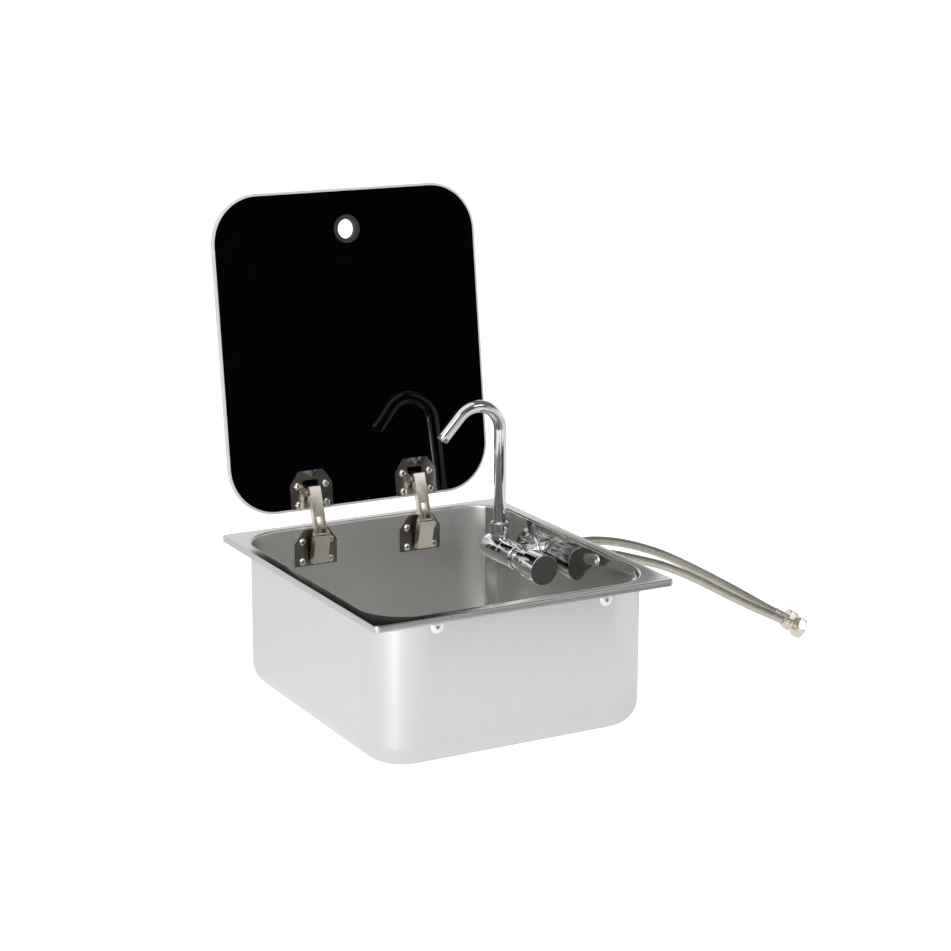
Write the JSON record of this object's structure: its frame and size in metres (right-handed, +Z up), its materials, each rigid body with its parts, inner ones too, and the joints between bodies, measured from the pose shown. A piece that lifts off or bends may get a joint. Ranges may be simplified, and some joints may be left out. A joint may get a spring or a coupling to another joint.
{
  "type": "caravan sink with glass lid",
  "caption": "Rectangular drop-in steel sink for a motor caravan, with a hinged dark glass lid, a fold-down mixer tap and braided supply hoses.",
  "frame": {"origin": "on the bowl's base, at the middle of the flange in plan", "axes": "+Z up, +X along the front edge towards the tap, +Y towards the lid's hinges"},
  "size_m": [0.6123, 0.3933, 0.4884],
  "materials": {
    "stainless": "satin",
    "nickel": "satin nickel",
    "spring_steel": "oiled",
    "chrome": "polished",
    "braid": "woven wire",
    "nut_plate": "nickel plate",
    "black_glass": "gloss",
    "rubber": "matt",
    "black_plastic": "matt",
    "brass": "machined"
  },
  "bodies": {
    "sink": {"sink_bowl": "stainless", "drain_gasket": "rubber", "drain_flange": "stainless", "left_lower_plate": "nickel", "right_lower_plate": "nickel", "left_lower_pin": "nickel", "right_lower_pin": "nickel", "left_hinge_spring": "spring_steel", "right_hinge_spring": "spring_steel", "left_wall_screw_1": "nickel", "left_wall_screw_2": "nickel", "left_wall_screw_3": "nickel", "left_wall_screw_4": "nickel", "right_wall_screw_1": "nickel", "right_wall_screw_2": "nickel", "right_wall_screw_3": "nickel", "right_wall_screw_4": "nickel", "tap_body": "chrome", "wall_escutcheon": "chrome", "shank_washer": "rubber", "shank_nut": "brass", "cartridge_nut": "chrome", "cold_hose": "braid", "hot_hose": "braid", "cold_hose_ferrule": "nut_plate", "cold_hose_nut": "nut_plate", "hot_hose_ferrule": "nut_plate", "hot_hose_nut": "nut_plate"},
    "hinge_lower_arms": {"left_lower_arm": "nickel", "right_lower_arm": "nickel", "left_knee_pin": "nickel", "right_knee_pin": "nickel"},
    "hinge_upper_arms": {"left_upper_arm": "nickel", "right_upper_arm": "nickel", "left_spring_strut": "nickel", "right_spring_strut": "nickel"},
    "inner_links": {"left_inner_link": "nickel", "right_inner_link": "nickel"},
    "lid": {"lid_glass": "black_glass", "finger_grommet": "rubber", "left_upper_plate": "nickel", "right_upper_plate": "nickel", "left_upper_pin": "nickel", "right_upper_pin": "nickel", "left_lid_screw_1": "nickel", "left_lid_screw_2": "nickel", "left_lid_screw_3": "nickel", "left_lid_screw_4": "nickel", "right_lid_screw_1": "nickel", "right_lid_screw_2": "nickel", "right_lid_screw_3": "nickel", "right_lid_screw_4": "nickel"},
    "tap_swivel": {"swivel_body": "chrome", "swivel_end_cap": "chrome", "spout_collar": "chrome"},
    "tap_spout": {"spout_pipe": "chrome", "spout_aerator": "black_plastic"},
    "tap_knob": {"control_knob": "chrome", "knob_cap": "black_plastic", "valve_spindle": "brass"}
  },
  "joints": [
    {"name": "lower_arm_pivot", "type": "hinge", "parent": "sink", "child": "hinge_lower_arms", "pos_m": [0, 0.1552, 0.1144], "axis": [1, 0, 0], "range_deg": [0, 107.42]},
    {"name": "knee_pivot", "type": "hinge", "parent": "hinge_lower_arms", "child": "hinge_upper_arms", "pos_m": [0, 0.149, 0.1435], "axis": [1, 0, 0], "range_deg": [-105.13, 0]},
    {"name": "lid_pivot", "type": "hinge", "parent": "hinge_upper_arms", "child": "lid", "pos_m": [0, 0.1651, 0.1852], "axis": [1, 0, 0], "range_deg": [0, 95.21]},
    {"name": "inner_link_pivot", "type": "hinge", "parent": "sink", "child": "inner_links", "pos_m": [0, 0.15808, 0.12186], "axis": [1, 0, 0], "range_deg": [0, 107.43]},
    {"name": "tap_fold", "type": "hinge", "parent": "sink", "child": "tap_swivel", "pos_m": [0.125, 0.0884, 0.115], "axis": [0, 1, 0], "range_deg": [-100.01, 0]},
    {"name": "spout_turn", "type": "hinge", "parent": "tap_swivel", "child": "tap_spout", "pos_m": [0.125, 0.1048, 0.1308], "axis": [0, 0, 1], "range_deg": [-10, 75]},
    {"name": "knob_turn", "type": "hinge", "parent": "sink", "child": "tap_knob", "pos_m": [0.125, 0.024, 0.115], "axis": [0, 1, 0], "range_deg": [0, 180]}
  ],
  "couplings": [
    {"joint": "knee_pivot", "follows": "lower_arm_pivot", "ratio": -0.97861},
    {"joint": "lid_pivot", "follows": "lower_arm_pivot", "ratio": 0.88627},
    {"joint": "inner_link_pivot", "follows": "lower_arm_pivot", "ratio": 1},
    {"joint": "tap_fold", "follows": "lower_arm_pivot", "ratio": -0.93094}
  ]
}
